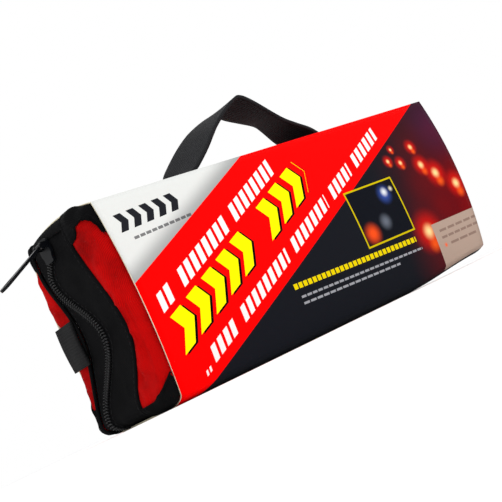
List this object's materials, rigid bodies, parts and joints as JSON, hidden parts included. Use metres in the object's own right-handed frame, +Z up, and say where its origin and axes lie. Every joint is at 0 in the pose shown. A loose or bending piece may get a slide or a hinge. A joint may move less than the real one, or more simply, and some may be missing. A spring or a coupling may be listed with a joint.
{
  "type": "road flare kit",
  "caption": "Zipped fabric bag of road flares in a puffed card sleeve, with a webbing carrying loop, a sliding zip pull and a sleeve that slides off.",
  "frame": {"origin": "centre of the flat strip on the sleeve's underside", "axes": "+X along the kit away from the slider's end, +Z up to the handle, the printed face looks along -Y"},
  "size_m": [0.2415, 0.0638, 0.1151],
  "materials": {
    "printed_card": "satin printed card, puffed panels",
    "red_fabric": "fine diagonal weave, slightly creased",
    "black_binding": "matt edge binding",
    "zip_tape": "matt knitted tape",
    "black_webbing": "ribbed flat webbing",
    "zip_coil": "moulded coil",
    "dark_metal": "glossy dark enamel",
    "flare_paper": "waxed kraft paper",
    "flare_fill": "pressed powder",
    "flare_plug": "dull clay",
    "flare_igniter": "dull",
    "flare_cap": "satin",
    "flare_striker": "fine abrasive coating"
  },
  "bodies": {
    "bag": {"front_shell": "red_fabric", "back_shell": "red_fabric", "front_binding": "black_binding", "back_binding": "black_binding", "front_tape": "zip_tape", "back_tape": "zip_tape", "zip_chain": "zip_coil", "top_stop": "dark_metal", "bottom_stop": "dark_metal", "top_spine": "zip_tape", "grab_tab": "black_webbing", "handle_foot_left": "black_webbing", "handle_foot_right": "black_webbing", "handle_loop": "black_webbing", "flare_1_casing": "flare_paper", "flare_1_composition": "flare_fill", "flare_1_plug": "flare_plug", "flare_1_igniter": "flare_igniter", "flare_1_cap": "flare_cap", "flare_1_striker": "flare_striker", "flare_2_casing": "flare_paper", "flare_2_composition": "flare_fill", "flare_2_plug": "flare_plug", "flare_2_igniter": "flare_igniter", "flare_2_cap": "flare_cap", "flare_2_striker": "flare_striker", "flare_3_casing": "flare_paper", "flare_3_composition": "flare_fill", "flare_3_plug": "flare_plug", "flare_3_igniter": "flare_igniter", "flare_3_cap": "flare_cap", "flare_3_striker": "flare_striker", "flare_4_casing": "flare_paper", "flare_4_composition": "flare_fill", "flare_4_plug": "flare_plug", "flare_4_igniter": "flare_igniter", "flare_4_cap": "flare_cap", "flare_4_striker": "flare_striker", "flare_5_casing": "flare_paper", "flare_5_composition": "flare_fill", "flare_5_plug": "flare_plug", "flare_5_igniter": "flare_igniter", "flare_5_cap": "flare_cap", "flare_5_striker": "flare_striker", "flare_6_casing": "flare_paper", "flare_6_composition": "flare_fill", "flare_6_plug": "flare_plug", "flare_6_igniter": "flare_igniter", "flare_6_cap": "flare_cap", "flare_6_striker": "flare_striker"},
    "sleeve": {"card_sleeve": "printed_card"},
    "slider": {"slider": "dark_metal"},
    "pull": {"pull_tab": "dark_metal"}
  },
  "joints": [
    {"name": "sleeve_slide", "type": "slide", "parent": "bag", "child": "sleeve", "axis": [-1, 0, 0], "range_m": [0, 0.25]},
    {"name": "slider_run", "type": "slide", "parent": "bag", "child": "slider", "axis": [0, -0.2525, -0.9676], "range_m": [0, 0.04237]},
    {"name": "pull_swing", "type": "hinge", "parent": "slider", "child": "pull", "pos_m": [-0.1106, 0.0055, 0.0802], "axis": [0, 1, 0], "range_deg": [-60, 80]}
  ]
}
